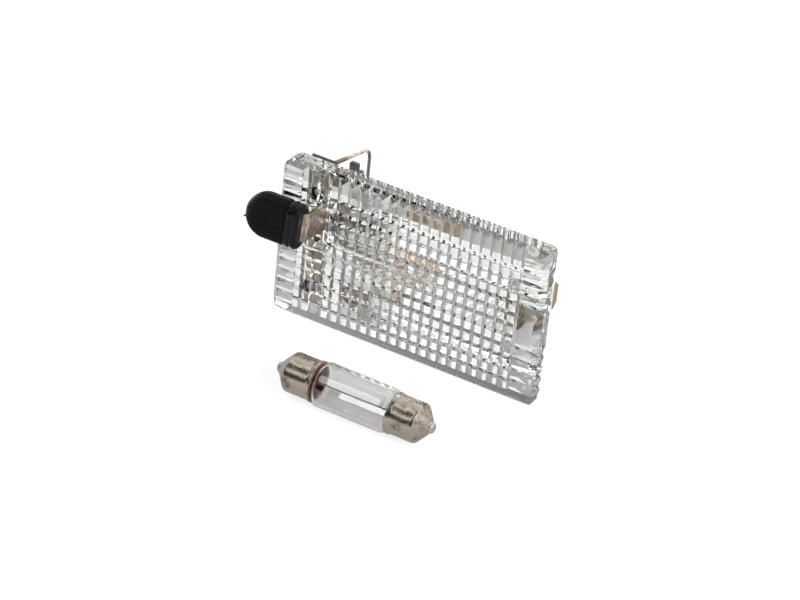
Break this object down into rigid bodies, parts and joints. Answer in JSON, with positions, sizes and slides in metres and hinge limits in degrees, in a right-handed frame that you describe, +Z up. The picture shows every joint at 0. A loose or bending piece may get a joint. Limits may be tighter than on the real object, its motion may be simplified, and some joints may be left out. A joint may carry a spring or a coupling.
{
  "type": "interior reading light",
  "caption": "Clear prismatic car interior light lens with a ribbed knob on a swinging switch lever, spring contacts behind it and its tubular bulb lying in front.",
  "frame": {"origin": "middle of the lens's lower long edge, which the light stands on, at half the lens's thickness", "axes": "+X along the lens away from the switch end, +Y away from the reader, out of the lens's back, +Z up across the lens"},
  "size_m": [0.0654, 0.0499, 0.0364],
  "materials": {
    "lens_acrylic": "moulded clear acrylic, polished, with sharp prisms",
    "knob_plastic": "moulded black plastic, satin, ribbed",
    "lever_steel": "dull nickel-plated steel sheet, lightly tarnished",
    "bracket_steel": "dark oiled steel sheet",
    "plate_clear": "clear polycarbonate sheet, punched",
    "contact_bronze": "rolled phosphor bronze strip, tarnished",
    "spring_bronze": "browned phosphor bronze strip",
    "plated_steel": "zinc-plated steel, turned",
    "rivet_brass": "dull brass, headed over",
    "bulb_glass": "clear drawn glass",
    "cap_nickel": "nickel-plated brass, drawn and crimped, stained",
    "cement": "baked brown cement",
    "lead_wire": "drawn nickel wire",
    "tungsten": "coiled tungsten wire"
  },
  "bodies": {
    "base": {"lens": "lens_acrylic", "pivot_pin": "plated_steel", "pivot_washers": "rivet_brass", "lever_bracket": "bracket_steel", "switch_plate": "plate_clear", "return_contact": "contact_bronze", "door_contact": "contact_bronze", "earth_spring": "spring_bronze", "feed_plate": "plate_clear", "feed_contact": "contact_bronze", "bracket_rivets": "rivet_brass", "door_rivets": "rivet_brass", "feed_rivets": "rivet_brass", "bulb_glass": "bulb_glass", "bulb_cap_left": "cap_nickel", "bulb_cap_right": "cap_nickel", "bulb_cement": "cement", "bulb_leads": "lead_wire", "bulb_filament": "tungsten"},
    "lever": {"switch_lever": "lever_steel", "switch_knob": "knob_plastic"}
  },
  "joints": [
    {"name": "lever_swing", "type": "hinge", "parent": "base", "child": "lever", "pos_m": [-0.02085, 0.012, 0.0232], "axis": [1, 0, 0], "range_deg": [0, 15]}
  ]
}
